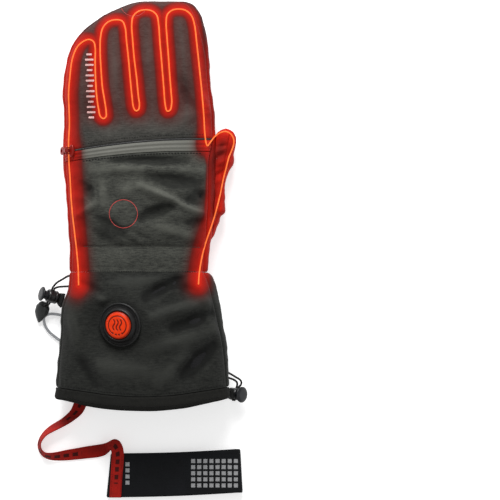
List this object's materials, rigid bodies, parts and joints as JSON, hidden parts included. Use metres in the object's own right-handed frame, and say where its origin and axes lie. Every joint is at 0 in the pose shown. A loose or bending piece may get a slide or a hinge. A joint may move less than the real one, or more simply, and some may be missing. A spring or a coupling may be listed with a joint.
{
  "type": "heated glove",
  "caption": "Padded heated glove with fold-back mitten hood, glowing heating wire, push button on a long gauntlet cuff, cord locks, and a webbing leash to an elastic wrist band.",
  "frame": {"origin": "centre of the bounding box without the free cords and leash, on the plane the glove lies on", "axes": "+Y from the cuff to the fingertips, +Z out of the back of the hand, +X to the thumb side"},
  "size_m": [0.1812, 0.4237, 0.0562],
  "materials": {
    "shell_fabric": "matte woven softshell",
    "hood_fabric": "matte softshell",
    "palm_leather": "matte",
    "thumb_fabric": "matte, lit red by the wire",
    "cuff_fabric": "matte woven",
    "hem_tape": "matte binding",
    "reflective_tape": "satin reflective tape",
    "zip_plastic": "satin coil",
    "zip_metal": "black satin",
    "heated_wire": "glowing red-orange",
    "button_rubber": "matte",
    "button_grey": "satin grey",
    "button_orange": "satin orange-red",
    "lock_black": "satin black",
    "lock_grey": "satin grey-black",
    "elastic_cord": "braided",
    "tab_webbing": "woven",
    "red_webbing": "woven",
    "cord_end_rubber": "satin",
    "clear_loop": "clear",
    "band_elastic": "ribbed elastic"
  },
  "bodies": {
    "glove": {"hood_back": "hood_fabric", "hand_back": "shell_fabric", "palm": "palm_leather", "thumb": "thumb_fabric", "cuff_back": "cuff_fabric", "cuff_under": "cuff_fabric", "cuff_hem": "hem_tape", "zip_tape": "reflective_tape", "zip_coil": "zip_plastic", "zip_slider": "zip_metal", "heating_wire": "heated_wire", "button_base": "button_rubber", "button_housing": "button_grey", "wrist_lock_body": "lock_black", "hem_lock_body": "lock_black", "wrist_cord_a": "elastic_cord", "wrist_cord_b": "elastic_cord", "hem_cord_a": "elastic_cord", "hem_cord_b": "elastic_cord", "wrist_tab": "tab_webbing", "hem_tab": "tab_webbing", "leash_strap": "red_webbing", "cord_end": "cord_end_rubber", "wire_loop": "clear_loop", "wrist_band": "band_elastic"},
    "button_cap": {"button_cap": "button_orange"},
    "wrist_plunger": {"wrist_lock_plunger": "lock_grey"},
    "hem_plunger": {"hem_lock_plunger": "lock_grey"},
    "pull": {"zip_pull": "zip_metal"}
  },
  "joints": [
    {"name": "button_press", "type": "slide", "parent": "glove", "child": "button_cap", "axis": [0.3491, 0.0974, -0.932], "range_m": [0, 0.0012], "stiffness_N_per_m": 900},
    {"name": "wrist_lock_press", "type": "slide", "parent": "glove", "child": "wrist_plunger", "axis": [0.8846, -0.2399, -0.3998], "range_m": [0, 0.002], "stiffness_N_per_m": 1000},
    {"name": "hem_lock_press", "type": "slide", "parent": "glove", "child": "hem_plunger", "axis": [-0.7494, 0.06, -0.6594], "range_m": [0, 0.002], "stiffness_N_per_m": 1000},
    {"name": "zip_pull_swing", "type": "hinge", "parent": "glove", "child": "pull", "pos_m": [-0.0639, 0.08324, 0.03876], "axis": [0.0325, 0.9984, -0.0467], "range_deg": [0, 120]}
  ]
}
